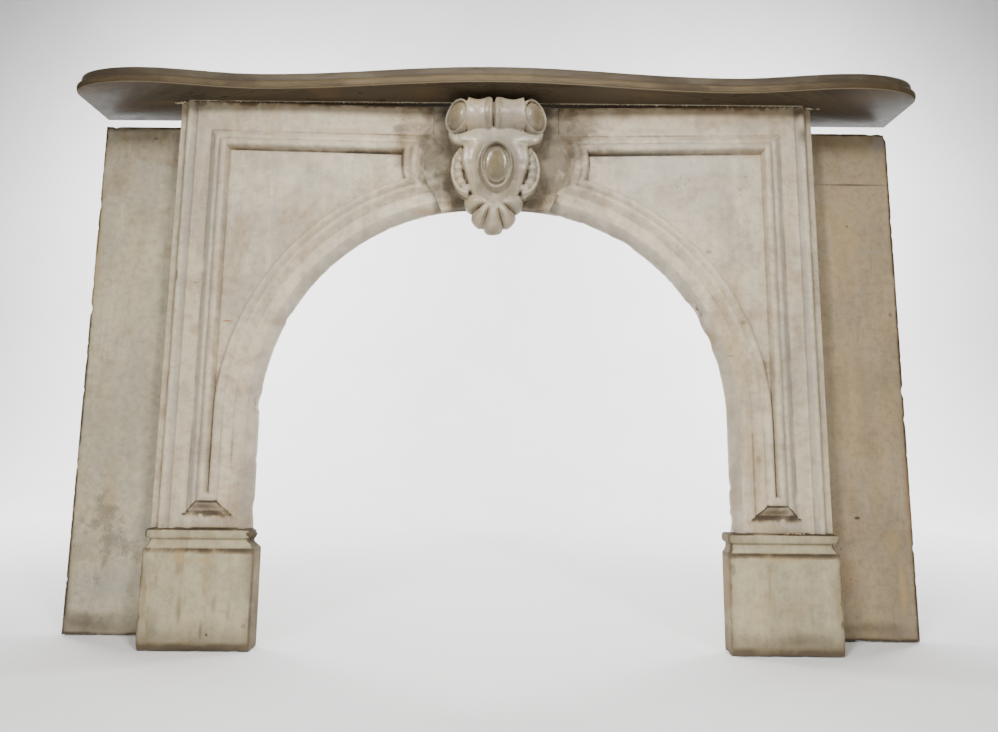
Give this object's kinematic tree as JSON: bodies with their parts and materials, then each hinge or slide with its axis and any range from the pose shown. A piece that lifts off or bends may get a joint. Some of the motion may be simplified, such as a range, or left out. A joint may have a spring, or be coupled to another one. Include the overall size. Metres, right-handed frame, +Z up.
{
  "type": "fireplace mantel",
  "caption": "White marble fireplace surround: moulded panels round a wide arch, carved scroll keystone, foot blocks, plain side slips and a wavy-fronted shelf.",
  "frame": {"origin": "on the floor, under the middle of the whole piece's width and depth", "axes": "+X along the shelf to the viewer's right, +Y back into the wall, +Z up; the front faces -Y"},
  "size_m": [1.682, 0.183, 1.1003],
  "materials": {
    "shelf_marble": "worn polished marble, brown with age and smoke, paler on its rounded edge",
    "panel_marble": "weathered white marble with grey clouding, tan stains and dirt in its hollows",
    "keystone_marble": "carved white marble, creamy with tan staining",
    "foot_marble": "yellow-grey worn marble, pitted, dark along its lower edges",
    "slip_marble": "flat grey-beige marble with yellow plaster stains"
  },
  "bodies": {
    "root": {"mantel_shelf": "shelf_marble", "left_arch_panel": "panel_marble", "right_arch_panel": "panel_marble", "keystone": "keystone_marble", "left_foot_block": "foot_marble", "right_foot_block": "foot_marble", "left_side_slip": "slip_marble", "right_side_slip": "slip_marble"}
  },
  "joints": []
}
